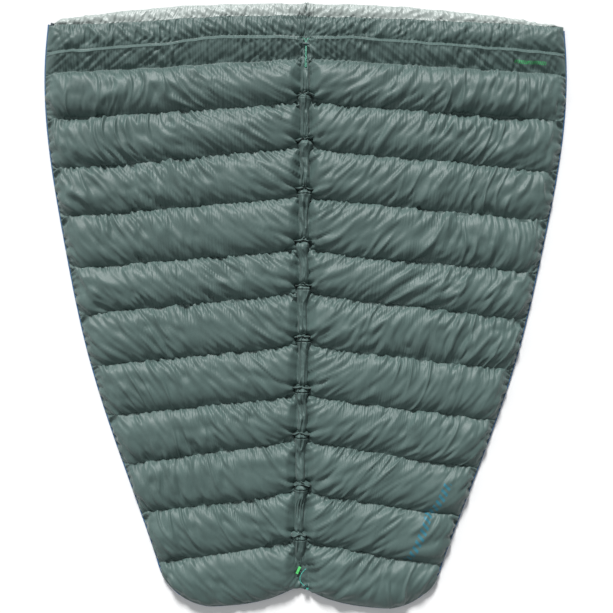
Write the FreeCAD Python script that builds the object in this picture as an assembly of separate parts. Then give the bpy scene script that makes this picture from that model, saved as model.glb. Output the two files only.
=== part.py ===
import FreeCAD, Part
import math
import os

# A two-person camp quilt lying flat, lining down. Millimetres, +Z up, +Y towards the head, +X to its right.
# The origin is on the ground under the middle of the quilt's box. The quilt is two halves on either side of
# a gathered centre line, and the left half folds over the right one.

V = FreeCAD.Vector
UP = V(0, 0, 1)

# ---------------------------------------------------------------- driving dimensions
HEAD_Y = 990.0          # top of the lining lip on the centre line
FOOT_Y = -990.0         # lowest point of each foot lobe
CORE_X = 13.0           # where each half begins, either side of the centre gather
CORE_GAP = 0.5          # clear space between a half and the centre gather
FABRIC = 0.8            # thickness that stands for one layer of fabric
CLEAR = 0.3             # clear space between soft solids that don't touch

# Side edge of the right half, from the head corner to where the foot corner's arc begins
SIDE_POINTS = [(845, 918), (856, 720), (788, 213), (700, -177), (567, -567), (470, -830)]
CORNER_MID = (414, -935)        # on the arc that rounds the foot corner
LOBE = (294, FOOT_Y)            # where the corner's arc meets the foot edge
FOOT_POINTS = [(0, -918), (40, -938), (90, -959), (160, -977)]   # foot edge from the notch to the lobe
LIP_POINTS = [(0, HEAD_Y), (330, 982), (650, 956), (805, 926)]   # free edge of the lining lip

# Cross lines of the quilt as (Y on the centre line, Y at the side edge), head to foot
SHELL_TOP = (944, 917)
CHANNEL_UPPER = (882, 840)
CHANNEL_LOWER = (862, 817)
SEAMS = [(808, 764), (660, 610), (510, 445), (350, 285), (180, 115), (40, -40),
         (-130, -205), (-295, -367), (-442, -525), (-609, -682), (-772, -837)]

CROWN = 50.0            # height of a baffle chamber's crown
SEAM_HEIGHT = 18.0      # height of a mesh wall, where the shell is stitched down
NECK_CROWN = 34.0       # crown of the neck band
COLLAR_CROWN = 22.0     # crown of the collar band
COLLAR_SEAM = 12.5      # height of the collar band's seams
LIP_CROWN = 16.0        # crown of the lining lip
CHANNEL_TOP = 26.0      # top of the neck drawcord channel
EDGE_HEIGHT = 6.0       # shell height along the side edge, under the binding
FILL_DROP = 12.0        # the down's crown lies this far under the shell's
FILL_INSET = 5.0        # the down stays this far from walls and ends
WALL = 0.6              # mesh wall thickness
WALL_GAP = 2.0          # a wall's top edge stays this far under the shell
SIDE_GAP = 0.9          # clear space between the shell and the side binding
HEM_GAP = 1.5           # clear space between the foot hem and the shell

FOLD_AXIS_Z = 62.0      # height of the line that the left half folds about

BINDING_WIDTH = 6.0
BINDING_HEIGHT = 9.0
BINDING_LIFT = FABRIC      # the binding and the hem lie on the lining's edge
HEM_SIZE = 11.0         # the foot hem is a square tunnel of this size
HEM_BORE = 2.4          # radius of the tunnel inside it

CORD_R = 1.1            # drawcord radius
CORD_HIGH = 31.0        # height of the neck cord's legs over the gather

LOCK_R = 4.6            # cord lock barrel radius
LOCK_LENGTH = 13.0
LOCK_TRAVEL_NECK = 22.0
LOCK_TRAVEL_FOOT = 8.0
BUTTON_TRAVEL = 3.0
PLUNGER_R = 3.2
PLUNGER_PLAY = 0.08     # running clearance of the plunger in its bore
BUTTON_R = 4.0
BUTTON_HEAD = 2.4

# ---------------------------------------------------------------- outline helpers


def spline(points):
    curve = Part.BSplineCurve()
    curve.interpolate([V(x, y, 0) for x, y in points])
    return curve


SIDE = spline(SIDE_POINTS)
FOOT = spline(FOOT_POINTS + [LOBE])
LIP = spline(LIP_POINTS)
CORNER = Part.Arc(V(*SIDE_POINTS[-1], 0), V(*CORNER_MID, 0), V(*LOBE, 0))


def where(curve, axis, value):
    """The point of a curve at which its x or y coordinate (axis 0 or 1) has this value."""
    low, high = curve.FirstParameter, curve.LastParameter
    rising = curve.value(high)[axis] > curve.value(low)[axis]
    for _ in range(50):
        middle = (low + high) / 2
        if (curve.value(middle)[axis] < value) == rising:
            low = middle
        else:
            high = middle
    return curve.value((low + high) / 2)


def side_x(y):
    if y > SIDE_POINTS[-1][1]:
        return where(SIDE, 1, y).x
    return where(CORNER, 1, y).x


def foot_y(x):
    if x <= LOBE[0]:
        return where(FOOT, 0, x).y
    return where(CORNER, 0, x).y


def on_line(line, share, margin=0.0):
    """A point on a cross line: share 0 at the centre gather, 1 beside the binding less a margin."""
    centre_y, edge_y = line
    margin += BINDING_WIDTH + SIDE_GAP
    end_x = side_x(edge_y) - margin
    full = share * (end_x - CORE_X) + CORE_X
    return V(full, centre_y + (edge_y - centre_y) * full / (end_x + margin), 0)


# ---------------------------------------------------------------- section and loft helpers


def arch(p, q, base, edge, crown):
    """A closed section over the ground line p to q: flat base, short ends and an arched top."""
    middle = (p + q) / 2
    a, b = p + UP * base, q + UP * base
    c, d = q + UP * edge, p + UP * edge
    top = Part.Arc(c, middle + UP * crown, d).toShape()
    return Part.Wire([Part.makeLine(a, b), Part.makeLine(b, c), top, Part.makeLine(d, a)])


def arch_skin(p, q, edge, crown):
    """The section of one layer of fabric arched over the ground line p to q."""
    middle = (p + q) / 2
    a, b = p + UP * edge, q + UP * edge
    c, d = b - UP * FABRIC, a - UP * FABRIC
    over = Part.Arc(a, middle + UP * crown, b).toShape()
    under = Part.Arc(c, middle + UP * (crown - FABRIC), d).toShape()
    return Part.Wire([over, Part.makeLine(b, c), under, Part.makeLine(d, a)])


def block(p, across, low, high, half):
    """A rectangular section at p: half its width each way along across, from low to high."""
    side = across * half
    corners = [p - side + UP * low, p + side + UP * low, p + side + UP * high, p - side + UP * high]
    return Part.makePolygon(corners + [corners[0]])


def loft(sections):
    return Part.makeLoft(sections, True, True)


def mirrored(shape):
    return shape.mirror(V(0, 0, 0), V(1, 0, 0))


# How high the shell stands at shares of the way from the centre gather to the side edge:
# (share, share of the crown's rise, share of the seam's height)
RISE = [(0.0, 0.42, 0.95), (0.045, 0.86, 1.0), (0.12, 1.0, 1.0), (0.86, 1.0, 1.0), (0.955, 0.75, 0.7),
        (1.0, 0.18, EDGE_HEIGHT / SEAM_HEIGHT)]


def heights(crown, seam, rise, seam_share):
    edge = seam * seam_share
    return edge, edge + (crown - seam) * rise


def band_skin(upper, lower, crown, seam):
    sections = []
    for share, rise, seam_share in RISE:
        edge, top = heights(crown, seam, rise, seam_share)
        sections.append(arch_skin(on_line(upper, share), on_line(lower, share), edge, top))
    return loft(sections)


def band_fill(upper, lower, crown, seam, drop):
    sections = []
    inner = (CORE_X + FILL_INSET) / side_x(upper[1])
    for share, rise, seam_share in RISE:
        share = min(max(share, inner * 0.6), 1.0)
        edge, top = heights(crown - drop, seam - drop, rise, seam_share)
        edge = max(edge, FABRIC + 2.0)
        top = max(top, edge + 2.0)
        p, q = on_line(upper, share, FILL_INSET), on_line(lower, share, FILL_INSET)
        along = (q - p).normalize() * FILL_INSET
        sections.append(arch(p + along, q - along, FABRIC, edge, top))
    return loft(sections)


# ---------------------------------------------------------------- foot chamber, bounded by the last seam

# The foot chamber's sections: (X, share of the crown's rise, share of the seam's height)
FOOT_STATIONS = [(CORE_X, 0.42, 0.95), (50, 0.75, 1.0), (110, 1.0, 1.0), (200, 1.0, 1.0), (294, 1.0, 1.0),
                 (360, 0.9, 1.0), (415, 0.6, 0.9), (438, 0.25, 0.75)]


def last_seam_y(x):
    centre_y, edge_y = SEAMS[-1]
    return centre_y + (edge_y - centre_y) * x / side_x(edge_y)


def foot_ends(x, inset):
    """Where a foot section starts and ends; the hem takes more of its length where the edge slants."""
    slope = (foot_y(x + 1) - foot_y(x - 1)) / 2
    hem = (HEM_SIZE + HEM_GAP + inset) * math.hypot(1, slope)
    return V(x, last_seam_y(x) - inset, 0), V(x, foot_y(x) + hem, 0)


def foot_skin():
    sections = []
    for x, rise, seam_share in FOOT_STATIONS:
        p, q = foot_ends(x, 0.0)
        edge, top = heights(CROWN, SEAM_HEIGHT, rise, seam_share)
        sections.append(arch_skin(p, q, edge, min(top, edge + 0.45 * (p - q).Length)))
    return loft(sections)


def foot_fill():
    sections = []
    for x, rise, seam_share in FOOT_STATIONS[:-1]:
        p, q = foot_ends(max(x, CORE_X + FILL_INSET), FILL_INSET)
        edge, top = heights(CROWN - FILL_DROP, SEAM_HEIGHT - FILL_DROP, rise, seam_share)
        edge = max(edge, FABRIC + 2.0)
        sections.append(arch(p, q, FABRIC, edge, max(top, edge + 2.0)))
    return loft(sections)


# ---------------------------------------------------------------- fabric pieces of one half (right side)


def shell():
    pieces = [band_skin(CHANNEL_LOWER, SEAMS[0], NECK_CROWN, SEAM_HEIGHT)]
    for upper, lower in zip(SEAMS, SEAMS[1:]):
        pieces.append(band_skin(upper, lower, CROWN, SEAM_HEIGHT))
    pieces.append(foot_skin())
    return pieces[0].fuse(pieces[1:]).removeSplitter()


def collar():
    return band_skin(SHELL_TOP, CHANNEL_UPPER, COLLAR_CROWN, COLLAR_SEAM)


def lip():
    sections = []
    for share, crown in ((0.0, 0.8), (0.1, 1.0), (0.4, 1.0), (0.77, 1.0), (0.955, 0.6)):
        p = on_line(SHELL_TOP, share)
        q = where(LIP, 0, min(max(p.x, CORE_X), LIP_POINTS[-1][0]))
        q = V(p.x, max(q.y, p.y + 6), 0)
        sections.append(arch(p, q, FABRIC, 3.0, LIP_CROWN * crown))
    return loft(sections)


def outline_face():
    """The lining's cut: both sides, the foot edge with its notch, and a head edge under the shell's."""
    head = Part.makeLine(V(*SIDE_POINTS[0], 0), V(0, SHELL_TOP[0], 0))
    spine = Part.makeLine(V(0, SHELL_TOP[0], 0), V(*FOOT_POINTS[0], 0))
    edges = [spine, FOOT.toShape(), CORNER.toShape(), SIDE.toShape(), head]
    return Part.Face(Part.Wire(Part.__sortEdges__(edges)))


def lining():
    plate = outline_face().extrude(UP * FABRIC)
    half = Part.makeBox(2000, 4000, 10, V(CORE_X, -2000, -5))
    return plate.common(half)


def wall(line):
    sections = []
    for share, rise, seam_share in RISE:
        p = on_line(line, share, CLEAR)
        top = SEAM_HEIGHT * seam_share - FABRIC - WALL_GAP
        sections.append(block(p, V(0, 1, 0), FABRIC, top, WALL / 2))
    return loft(sections)


def baffle_walls():
    return Part.makeCompound([wall(line) for line in SEAMS])


def channel():
    """The neck drawcord's channel: a low arched tunnel, with a round bore for the cord."""
    sections = []
    for share, rise, seam_share in RISE:
        p, q = on_line(CHANNEL_UPPER, share, CLEAR), on_line(CHANNEL_LOWER, share, CLEAR)
        inset = (q - p).normalize() * (4 * CLEAR)
        p, q = p + inset, q - inset
        top = CHANNEL_TOP - (1 - rise) * 6
        sections.append(arch(p, q, FABRIC, SEAM_HEIGHT * seam_share * 0.7, top))
    bore = rod(channel_centre(0.0), channel_centre(0.93), CORD_R + CLEAR)
    return loft(sections).cut(bore)


def channel_centre(share):
    middle = (on_line(CHANNEL_UPPER, share) + on_line(CHANNEL_LOWER, share)) / 2
    return middle + UP * (SEAM_HEIGHT * 0.5)


def rod(p, q, radius):
    return Part.makeCylinder(radius, (q - p).Length, p, q - p)


def channel_cord():
    return rod(channel_centre(0.0), channel_centre(0.92), CORD_R)


def follow(points, half, low, high):
    """A square strip that follows points on the ground, inside the outline they lie on."""
    sections = []
    for i, p in enumerate(points):
        before, after = points[max(i - 1, 0)], points[min(i + 1, len(points) - 1)]
        along = (after - before).normalize()
        across = V(along.y, -along.x, 0)
        sections.append(block(p + across * half, across, low, high, half))
    return loft(sections)


def side_binding():
    edge_ys = [SHELL_TOP[1] - 4, CHANNEL_UPPER[1]] + [line[1] for line in SEAMS]
    points = [V(side_x(y), y, 0) for y in edge_ys]
    return follow(points, BINDING_WIDTH / 2, BINDING_LIFT, BINDING_LIFT + BINDING_HEIGHT)


HEM_XS = [440, 385, 330, 270, 190, 120, 65, CORE_X + 2]       # X of the foot hem's sections, corner to notch


def hem_points(inward):
    start = V(side_x(SEAMS[-1][1] - 8), SEAMS[-1][1] - 8, 0)
    points = [start] + [V(x, foot_y(x), 0) for x in HEM_XS]
    return [p + V(-inward if i == 0 else 0, 0 if i == 0 else inward, 0) for i, p in enumerate(points)]


# ---------------------------------------------------------------- cords: straight runs joined by tangent arcs


def cord_path(points):
    """The path, and the radius of its arc at each inner point."""
    edges, radii = [], []
    last = points[0]
    for before, here, after in zip(points, points[1:], points[2:]):
        into, out = here - before, after - here
        shorter = min(into.Length, out.Length)
        into.normalize()
        out.normalize()
        turn = into.getAngle(out)
        reach = 0.45 * shorter
        radius = reach / math.tan(turn / 2)
        start, end = here - into * reach, here + out * reach
        towards = (out - into).normalize()
        middle = here + towards * (radius / math.cos(turn / 2) - radius)
        edges.append(Part.LineSegment(last, start).toShape())
        edges.append(Part.Arc(start, middle, end).toShape())
        radii.append(radius)
        last = end
    edges.append(Part.LineSegment(last, points[-1]).toShape())
    return Part.Wire(edges), radii


def tube(name, points, radius):
    path, radii = cord_path(points)
    along = (points[1] - points[0]).normalize()
    ring = Part.Wire([Part.makeCircle(radius, points[0], along)])
    solid = path.makePipeShell([ring], True, False)
    if solid.Volume < 0:
        solid.reverse()
    expected = math.pi * radius ** 2 * path.Length
    print(name, "length", round(path.Length, 1), "volume ratio", round(solid.Volume / expected, 4),
          "radii", [round(r, 1) for r in radii])
    return solid


# The neck cord's left leg; the right leg is its mirror, lower where the two cross
NECK_LEG = [(-11.5, 873, 17), (-6.5, 871, 25), (-1.5, 862, 31), (-1.5, 821, 31), (-1.9, 812, 32.4),
            (3.6, 803, 33.6), (-3.2, 793, 31.5), (-1.6, 782, 30.0)]
NECK_UNDER = [0, 0, 0, 0, 3.0, 6.2, 4.0, 1.5]     # how much lower the right leg passes, at each point
NECK_KNOT = V(0, 778, 28.5)
KNOT_R = 4.4

# The foot cord, from its eyelet in the gather to its knot at the notch
FOOT_CORD = [(21, -853, 37), (11, -862, 35.5), (3.5, -875, 33.5), (0.8, -889, 32), (4, -901, 31),
             (24, -918, 29.5)]
FOOT_KNOT = V(26.5, -920.1, 29.5)


def neck_leg(side):
    points = []
    for (x, y, z), under in zip(NECK_LEG, NECK_UNDER):
        points.append(V(-side * x, y, z - (under if side > 0 else 0)))
    return points


def knot(centre, cords):
    """An overhand knot's outer shape: a fat ring with a rounded core, clear of the cord's own solid."""
    ring = Part.makeTorus(KNOT_R * 0.55, KNOT_R * 0.45, centre, V(0, 1, 0))
    core = Part.makeSphere(KNOT_R * 0.7, centre)
    solid = ring.fuse(core).removeSplitter()
    for cord in cords:
        solid = solid.cut(cord)
    return max(solid.Solids, key=lambda s: s.Volume)


# ---------------------------------------------------------------- cord lock: barrel, plunger button and spring


def lock_parts(centre, along, barrel_axis, slot_half):
    """The three pieces of a cord lock, with the cord along one axis and the barrel across it."""
    barrel_start = centre - barrel_axis * (LOCK_LENGTH / 2 + slot_half + CORD_R)
    barrel = Part.makeCylinder(LOCK_R, LOCK_LENGTH, barrel_start, barrel_axis)
    barrel = barrel.makeFillet(0.9, [e for e in barrel.Edges if e.Curve.TypeId == "Part::GeomCircle"])
    floor = 2.0
    bore = Part.makeCylinder(PLUNGER_R + PLUNGER_PLAY, LOCK_LENGTH, barrel_start + barrel_axis * floor,
                             barrel_axis)
    high = CORD_R + CLEAR
    body_slot = slot(centre, along, barrel_axis, slot_half + CORD_R + CLEAR, high, LOCK_R * 3)
    body = barrel.cut(bore).cut(body_slot)
    shaft_start = barrel_start + barrel_axis * (floor + BUTTON_TRAVEL + 0.4)
    shaft_length = LOCK_LENGTH - floor - BUTTON_TRAVEL - 0.4 + BUTTON_TRAVEL + 0.3
    shaft = Part.makeCylinder(PLUNGER_R, shaft_length, shaft_start, barrel_axis)
    head_start = shaft_start + barrel_axis * shaft_length
    head = Part.makeCylinder(BUTTON_R, BUTTON_HEAD, head_start, barrel_axis)
    rims = [e for e in head.Edges if e.Curve.TypeId == "Part::GeomCircle"]
    head = head.makeFillet(0.7, rims)
    shaft_slot_half = slot_half + CORD_R + CLEAR + BUTTON_TRAVEL / 2
    shaft_slot = slot(centre + barrel_axis * (BUTTON_TRAVEL / 2), along, barrel_axis, shaft_slot_half, high,
                      LOCK_R * 3)
    plunger = shaft.fuse(head).removeSplitter().cut(shaft_slot)
    spring_start = barrel_start + barrel_axis * floor
    spring = Part.makeCylinder(PLUNGER_R - 0.5, BUTTON_TRAVEL + 0.4, spring_start, barrel_axis)
    spring = spring.cut(Part.makeCylinder(PLUNGER_R - 1.2, BUTTON_TRAVEL + 0.4, spring_start, barrel_axis))
    return body, plunger, spring


def slot(centre, along, across, half, high, reach):
    """A rectangular slot through a lock, for the cord: along the cord's axis, half wide across it."""
    corners = []
    for a, z in ((-half, -high), (half, -high), (half, high), (-half, high)):
        corners.append(centre - along * reach + across * a + UP * z)
    face = Part.Face(Part.makePolygon(corners + [corners[0]]))
    return face.extrude(along * (2 * reach))


NECK_LOCK = V(0, 850, CORD_HIGH)


def foot_lock_frame():
    """Centre, cord direction and barrel axis of the foot lock, on the foot cord's last straight run."""
    start, end = V(*FOOT_CORD[-2]), V(*FOOT_CORD[-1])
    along = (end - start).normalize()
    flat = V(along.x, along.y, 0).normalize()
    across = V(-flat.y, flat.x, 0)
    return end - along * 6.0, along, across


# ---------------------------------------------------------------- centre pieces


def centre_gather():
    """The shell's gathered strip: a low ridge that dips at every seam."""
    half = CORE_X - CORE_GAP
    heights_along = [(SHELL_TOP[0] + 38, 12.0), (SHELL_TOP[0], 14.0), (CHANNEL_LOWER[0], 13.0)]
    for upper, lower in zip(SEAMS, SEAMS[1:]):
        heights_along.append((upper[0], 16.0))
        heights_along.append(((upper[0] + lower[0]) / 2, 24.0))
    heights_along += [(SEAMS[-1][0], 16.0), (-850, 20.0), (FOOT_POINTS[0][1] + 4, 12.0)]
    sections = []
    for y, z in heights_along:
        p = V(0, y, 0)
        sections.append(block(p, V(1, 0, 0), FABRIC + 1.6, z, half))
    return loft(sections)


def centre_box(half, y0, y1, z0, z1):
    return Part.makeBox(2 * half, y1 - y0, z1 - z0, V(-half, y0, z0))


def foot_tab():
    """The small sewn pull tab in the foot notch: a folded tape with rounded corners, leaning to the right."""
    width, length, thick = 8.0, 24.0, 3.0
    tab = Part.makeBox(width, length, thick, V(-width / 2, -length / 2, 0))
    tab = tab.makeFillet(1.2, [e for e in tab.Edges if abs(e.tangentAt(e.FirstParameter).z) > 0.9])
    tab.rotate(V(0, 0, 0), UP, -24)
    tab.translate(V(-4, -861, 26.2))
    return tab


def corner_tab():
    """A short folded tape on the left head corner."""
    width, length, thick = 9.0, 16.0, 4.0
    tab = Part.makeBox(width, length, thick, V(-width / 2, -length / 2, 0))
    tab.rotate(V(0, 0, 0), UP, -12)
    tab.translate(V(14 - side_x(SHELL_TOP[1] - 6), SHELL_TOP[1] + 1, BINDING_LIFT + BINDING_HEIGHT))
    return tab


# ---------------------------------------------------------------- build

os.makedirs("parts", exist_ok=True)
total = 0.0


def save(name, shape):
    global total
    total += shape.Volume
    solids = len(shape.Solids)
    box = shape.BoundBox
    if not shape.isValid() or shape.Volume <= 0:
        print("CHECK", name, "valid", shape.isValid(), "volume", shape.Volume)
    print(f"{name:28s} solids {solids:2d} volume {shape.Volume / 1000:10.2f} cm3  z {box.ZMin:6.2f} {box.ZMax:6.2f}")
    shape.exportStep(f"parts/{name}.step")


def save_pair(name, shape):
    save(name + "_right", shape)
    save(name + "_left", mirrored(shape))


save_pair("shell", shell())
save_pair("collar_shell", collar())
save_pair("lining", lining())
save_pair("lining_lip", lip())
save_pair("baffle_walls", baffle_walls())
save_pair("neck_channel", channel())
save_pair("neck_channel_cord", channel_cord())
save_pair("side_binding", side_binding())

hem_cord_points = [p + UP * (BINDING_LIFT + HEM_SIZE / 2) for p in hem_points(HEM_SIZE / 2)]
hem = follow(hem_points(0.0), HEM_SIZE / 2, BINDING_LIFT, BINDING_LIFT + HEM_SIZE)
save_pair("foot_hem", hem.cut(tube("foot_hem_bore", hem_cord_points, HEM_BORE)))
save_pair("foot_hem_cord", tube("foot_hem_cord", hem_cord_points, CORD_R))

collar_down = band_fill(SHELL_TOP, CHANNEL_UPPER, COLLAR_CROWN, COLLAR_SEAM, FILL_DROP * 0.4)
neck_down = band_fill(CHANNEL_LOWER, SEAMS[0], NECK_CROWN, SEAM_HEIGHT, FILL_DROP * 0.7)
save_pair("collar_fill", Part.makeCompound([collar_down, neck_down]))
for number, (upper, lower) in enumerate(zip(SEAMS, SEAMS[1:]), start=1):
    save_pair(f"down_fill_{number:02d}", band_fill(upper, lower, CROWN, SEAM_HEIGHT, FILL_DROP))
save_pair(f"down_fill_{len(SEAMS):02d}", foot_fill())

save("centre_gather", centre_gather())
save("centre_lining", centre_box(CORE_X - CORE_GAP, FOOT_POINTS[0][1] + 4, SHELL_TOP[0] + 38, 0, FABRIC))
save("centre_elastic", centre_box(4.0, FOOT_POINTS[0][1] + 8, CHANNEL_LOWER[0] - 4, FABRIC, FABRIC + 1.5))

neck_cords = {}
for cord_name, side in (("left", -1), ("right", 1)):
    neck_cords[cord_name] = tube("neck_cord_" + cord_name, neck_leg(side), CORD_R)
    save("neck_cord_" + cord_name, neck_cords[cord_name])
save("neck_cord_knot", knot(NECK_KNOT, list(neck_cords.values())))
body, plunger, spring = lock_parts(NECK_LOCK, V(0, -1, 0), V(1, 0, 0), 1.5)
save("neck_lock_body", body)
save("neck_lock_button", plunger)
save("neck_lock_spring", spring)

foot_cord = tube("foot_cord", [V(*p) for p in FOOT_CORD], CORD_R)
save("foot_cord", foot_cord)
save("foot_cord_knot", knot(FOOT_KNOT, [foot_cord]))
lock_centre, lock_along, lock_across = foot_lock_frame()
body, plunger, spring = lock_parts(lock_centre, lock_along, lock_across, 0.0)
save("foot_lock_body", body)
save("foot_lock_button", plunger)
save("foot_lock_spring", spring)
print("foot lock centre", lock_centre, "along", lock_along, "across", lock_across)

save("foot_pull_tab", foot_tab())
save("corner_tab_left", corner_tab())
print("total volume m3", round(total * 1e-9, 5))
print("centre_fold turns about +Y through x 0, z", FOLD_AXIS_Z)
print("lock travels", LOCK_TRAVEL_NECK, LOCK_TRAVEL_FOOT, "button travel", BUTTON_TRAVEL)
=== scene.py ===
import math

import bpy
import numpy as np
from mathutils import Euler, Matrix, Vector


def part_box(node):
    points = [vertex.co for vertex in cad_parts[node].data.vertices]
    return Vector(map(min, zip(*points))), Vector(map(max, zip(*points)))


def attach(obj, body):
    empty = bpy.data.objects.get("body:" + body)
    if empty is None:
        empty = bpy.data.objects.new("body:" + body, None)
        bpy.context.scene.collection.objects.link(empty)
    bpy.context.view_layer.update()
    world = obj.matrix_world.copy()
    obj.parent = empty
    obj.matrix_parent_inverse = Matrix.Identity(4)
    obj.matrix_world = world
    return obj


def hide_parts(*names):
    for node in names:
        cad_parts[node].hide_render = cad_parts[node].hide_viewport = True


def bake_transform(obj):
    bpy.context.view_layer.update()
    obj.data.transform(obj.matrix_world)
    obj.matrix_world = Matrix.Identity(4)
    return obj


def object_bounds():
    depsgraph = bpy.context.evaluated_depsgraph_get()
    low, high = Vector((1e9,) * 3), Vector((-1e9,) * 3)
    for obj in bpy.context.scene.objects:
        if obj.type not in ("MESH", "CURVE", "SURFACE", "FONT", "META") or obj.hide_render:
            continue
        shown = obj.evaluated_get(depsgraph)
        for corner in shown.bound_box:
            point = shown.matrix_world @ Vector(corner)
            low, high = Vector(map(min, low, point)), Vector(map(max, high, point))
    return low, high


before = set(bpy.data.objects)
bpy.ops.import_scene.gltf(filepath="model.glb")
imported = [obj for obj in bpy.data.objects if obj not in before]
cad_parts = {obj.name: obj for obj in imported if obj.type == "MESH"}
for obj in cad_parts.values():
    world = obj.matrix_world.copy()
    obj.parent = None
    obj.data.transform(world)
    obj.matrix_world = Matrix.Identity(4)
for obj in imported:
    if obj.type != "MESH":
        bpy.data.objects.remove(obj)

# A two-person camp quilt seen from straight above, in metres: puffy nylon chambers either side of a gathered
# centre line, a pale lining lip at the head, navy binding down the sides and thin green drawcords.

cad_low, cad_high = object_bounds()

HALVES = {"right": 1.0, "left": -1.0}
CHAMBERS = 11
EDGE_INSET = 0.0045         # the shell's side edge lies this far inside the quilt's, under the binding
FOOT_INSET = 0.0038         # and its foot edge this far, over the hem
CEILING = cad_high[2] + 0.0085                          # the shell's crowns stay near this

# the drawcords' routes, as in the part's source
NECK_LEG = [(-0.0115, 0.873, 0.017), (-0.0065, 0.871, 0.025), (-0.0015, 0.862, 0.031),
            (-0.0015, 0.821, 0.031), (-0.0019, 0.812, 0.0324), (0.0036, 0.803, 0.0336),
            (-0.0032, 0.793, 0.0315), (-0.0016, 0.782, 0.030)]
NECK_UNDER = [0, 0, 0, 0, 0.003, 0.0062, 0.004, 0.0015]
NECK_KNOT = (0, 0.778, 0.0285)
FOOT_CORD = [(0.021, -0.853, 0.037), (0.011, -0.862, 0.0355), (0.0035, -0.875, 0.0335),
             (0.0008, -0.889, 0.032), (0.004, -0.901, 0.031), (0.024, -0.918, 0.0295)]
FOOT_KNOT = (0.0265, -0.9201, 0.0295)
CORD_DIAMETER = 0.0022
RIGHT_NECK_LEG = [(-x, y, z - under) for (x, y, z), under in zip(NECK_LEG, NECK_UNDER)]


# ------------------------------------------------ camera, lights and floor

def make_camera():
    data = bpy.data.cameras.new("camera")
    camera = bpy.data.objects.new("camera", data)
    bpy.context.scene.collection.objects.link(camera)
    view_width = 1.992
    data.lens, data.sensor_width = 50, 36
    camera.location = (0.012, -0.003, view_width * data.lens / data.sensor_width + 0.03)
    camera.rotation_euler = Euler((0, 0, math.radians(0.7)))
    data.clip_start, data.clip_end = 0.05, 50
    bpy.context.scene.camera = camera


def sun(name, energy, spread, tilt, turn):
    """A sun tilted away from straight down, so that it shines from the head end, then turned about Z."""
    data = bpy.data.lights.new(name, "SUN")
    data.energy, data.angle = energy, math.radians(spread)
    lamp = bpy.data.objects.new(name, data)
    bpy.context.scene.collection.objects.link(lamp)
    lamp.rotation_euler = Euler((math.radians(-tilt), 0, math.radians(turn)))


def make_lights():
    world = bpy.data.worlds.new("studio")
    bpy.context.scene.world = world
    world.use_nodes = True
    background = world.node_tree.nodes["Background"]
    background.inputs["Color"].default_value = (0.96, 0.98, 1.0, 1)
    background.inputs["Strength"].default_value = 0.32
    sun("key", 4.2, 12, 57, 9)
    sun("side", 0.45, 40, 55, 95)
    bpy.context.scene.view_settings.view_transform = "Standard"


def make_floor():
    size = 6.0
    floor = mesh_object("floor", [(-size, -size, -0.0004), (size, -size, -0.0004), (size, size, -0.0004),
                                  (-size, size, -0.0004)], [(0, 1, 2, 3)])
    floor.data.materials.append(Look("floor_paper", (0.93, 0.93, 0.93), 0.9).material)


# ------------------------------------------------ materials

def rgb(color, factor=1.0):
    return tuple(min(c * factor, 1.0) for c in color) + (1,)


class Look:
    """A material, with short calls for building its nodes."""

    def __init__(self, name, color, roughness):
        self.material = bpy.data.materials.new(name)
        self.material.use_nodes = True
        self.tree = self.material.node_tree
        self.shader = self.tree.nodes["Principled BSDF"]
        self.set("Base Color", rgb(color))
        self.set("Roughness", roughness)

    def feed(self, socket, value):
        if isinstance(value, bpy.types.NodeSocket):
            self.tree.links.new(value, socket)
        else:
            socket.default_value = value

    def set(self, name, value):
        """Gives an input of the shader a number, a colour or a node's output."""
        self.feed(self.shader.inputs[name], value)

    def node(self, kind, settings=None, **inputs):
        made = self.tree.nodes.new(kind)
        for key, value in (settings or {}).items():
            setattr(made, key, value)
        for key, value in inputs.items():
            self.feed(made.inputs[key], value)
        return made

    def math(self, operation, a, b=0.0):
        made = self.node("ShaderNodeMath", {"operation": operation})
        self.feed(made.inputs[0], a)
        self.feed(made.inputs[1], b)
        return made.outputs[0]

    def scaled(self, value, factor, base=0.0):
        return self.math("ADD", self.math("MULTIPLY", value, factor), base)

    def coordinates(self, scale=(1, 1, 1), turn=0.0, kind="UV"):
        texture = self.node("ShaderNodeTexCoord").outputs[kind]
        return self.node("ShaderNodeMapping", Vector=texture, Scale=scale, Rotation=(0, 0, turn)).outputs[0]

    def noise(self, vector, scale, detail=3.0, roughness=0.5, distortion=0.0):
        return self.node("ShaderNodeTexNoise", Vector=vector, Scale=scale, Detail=detail, Roughness=roughness,
                         Distortion=distortion).outputs[0]

    def wave(self, vector, scale, direction="X"):
        return self.node("ShaderNodeTexWave", {"bands_direction": direction}, Vector=vector,
                         Scale=scale).outputs["Fac"]

    def cells(self, scale, feature="F1"):
        return self.node("ShaderNodeTexVoronoi", {"feature": feature}, Vector=self.coordinates(kind="Object"),
                         Scale=scale).outputs[0]

    def mix(self, factor, a, b):
        made = self.node("ShaderNodeMix", {"data_type": "RGBA"})
        self.feed(made.inputs[0], factor)
        self.feed(made.inputs[6], a)
        self.feed(made.inputs[7], b)
        return made.outputs[2]

    def tint(self, factor, color, first, second):
        """Shades the base colour from one multiple of it to another."""
        self.set("Base Color", self.mix(factor, rgb(color, first), rgb(color, second)))

    def emboss(self, *layers):
        """Bumps the surface by layers of (height, strength, distance), the coarsest first."""
        normal = None
        for height, strength, distance in layers:
            bump = self.node("ShaderNodeBump", Height=height, Strength=strength, Distance=distance)
            if normal is not None:
                self.feed(bump.inputs["Normal"], normal)
            normal = bump.outputs[0]
        self.set("Normal", normal)


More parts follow.
